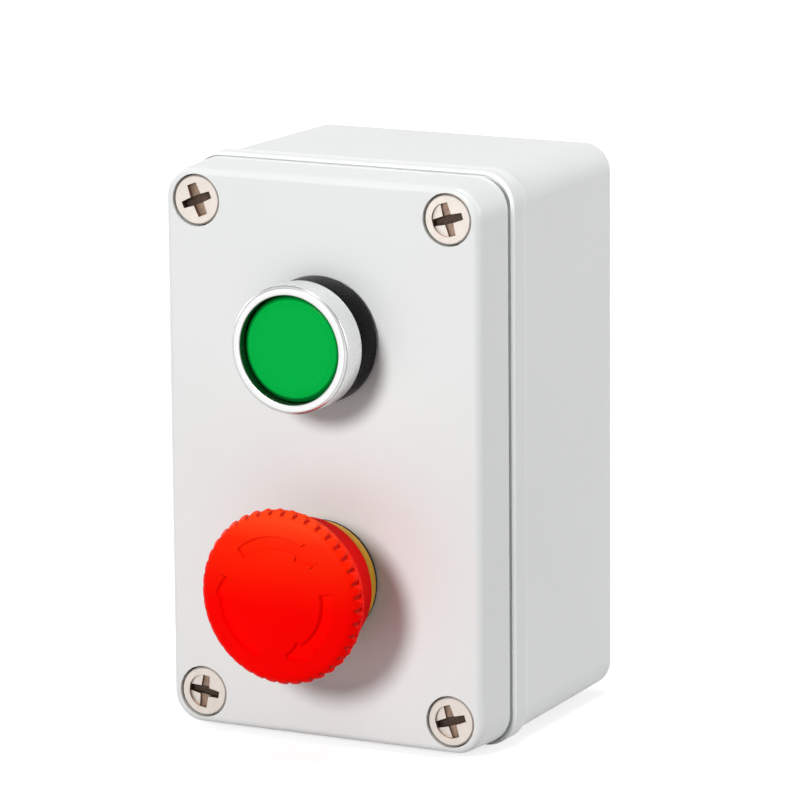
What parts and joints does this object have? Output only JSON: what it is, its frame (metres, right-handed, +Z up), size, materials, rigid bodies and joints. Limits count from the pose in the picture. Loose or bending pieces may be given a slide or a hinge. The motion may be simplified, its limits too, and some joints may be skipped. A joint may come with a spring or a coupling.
{
  "type": "emergency stop button box",
  "caption": "Grey plastic wall box with a green start button and a red knurled mushroom stop button that pushes in and twists to release.",
  "frame": {"origin": "centre of the rear face, on the wall", "axes": "+Z up, +X to the right as seen from the front, the buttons face -Y"},
  "size_m": [0.0814, 0.0945, 0.1314],
  "materials": {
    "grey_plastic": "satin",
    "black_rubber": "matte",
    "screw_metal": "satin",
    "brass": "satin",
    "black_plastic": "satin",
    "bezel_metal": "satin",
    "green_plastic": "gloss",
    "white_plastic": "satin",
    "yellow_plastic": "satin",
    "red_plastic": "gloss",
    "steel": "satin",
    "block_plastic": "satin"
  },
  "bodies": {
    "enclosure": {"rear_box": "grey_plastic", "front_cover": "grey_plastic", "cover_gasket": "black_rubber", "screw_seals": "black_rubber", "green_panel_gasket": "black_rubber", "stop_panel_gasket": "black_rubber", "rod_seal": "black_rubber", "cover_screws": "screw_metal", "brass_inserts": "brass", "start_block_contacts": "brass", "stop_block_contacts": "brass", "green_collar": "black_plastic", "stop_barrel": "black_plastic", "green_lock_nut": "black_plastic", "stop_lock_nut": "black_plastic", "green_contact_carrier": "black_plastic", "stop_contact_carrier": "black_plastic", "green_bezel": "bezel_metal", "latch_collar": "white_plastic", "yellow_ring": "yellow_plastic", "green_return_spring": "steel", "stop_return_spring": "steel", "start_block_spring": "steel", "stop_block_spring": "steel", "start_block_screws": "steel", "stop_block_screws": "steel", "start_block_clamps": "steel", "stop_block_clamps": "steel", "start_block_housing": "block_plastic", "stop_block_housing": "block_plastic", "start_block_lid": "block_plastic", "stop_block_lid": "block_plastic"},
    "green_button": {"green_lens": "green_plastic", "lens_insert": "white_plastic", "green_plunger": "white_plastic"},
    "start_contact": {"start_block_pusher": "white_plastic", "start_block_bridge": "brass"},
    "stop_rod": {"push_rod": "white_plastic"},
    "mushroom_head": {"mushroom_cap": "red_plastic", "mushroom_neck": "red_plastic", "twist_spindle": "steel"},
    "stop_contact": {"stop_block_pusher": "white_plastic", "stop_block_bridge": "brass"}
  },
  "joints": [
    {"name": "green_push", "type": "slide", "parent": "enclosure", "child": "green_button", "axis": [0, 1, 0], "range_m": [0, 0.004], "stiffness_N_per_m": 800, "springref_m": -0.004, "deforming": ["green_return_spring"]},
    {"name": "start_contact_push", "type": "slide", "parent": "enclosure", "child": "start_contact", "axis": [0, 1, 0], "range_m": [0, 0.004], "deforming": ["start_block_spring"]},
    {"name": "stop_push", "type": "slide", "parent": "enclosure", "child": "stop_rod", "axis": [0, 1, 0], "range_m": [0, 0.004], "stiffness_N_per_m": 2500, "springref_m": -0.004, "deforming": ["stop_return_spring"]},
    {"name": "stop_twist", "type": "hinge", "parent": "stop_rod", "child": "mushroom_head", "pos_m": [0, -0.07, -0.027], "axis": [0, 1, 0], "range_deg": [0, 40], "stiffness_Nm_per_rad": 0.3},
    {"name": "stop_contact_push", "type": "slide", "parent": "enclosure", "child": "stop_contact", "axis": [0, 1, 0], "range_m": [0, 0.004], "deforming": ["stop_block_spring"]}
  ],
  "couplings": [
    {"joint": "start_contact_push", "follows": "green_push", "ratio": 1},
    {"joint": "stop_contact_push", "follows": "stop_push", "ratio": 1}
  ]
}
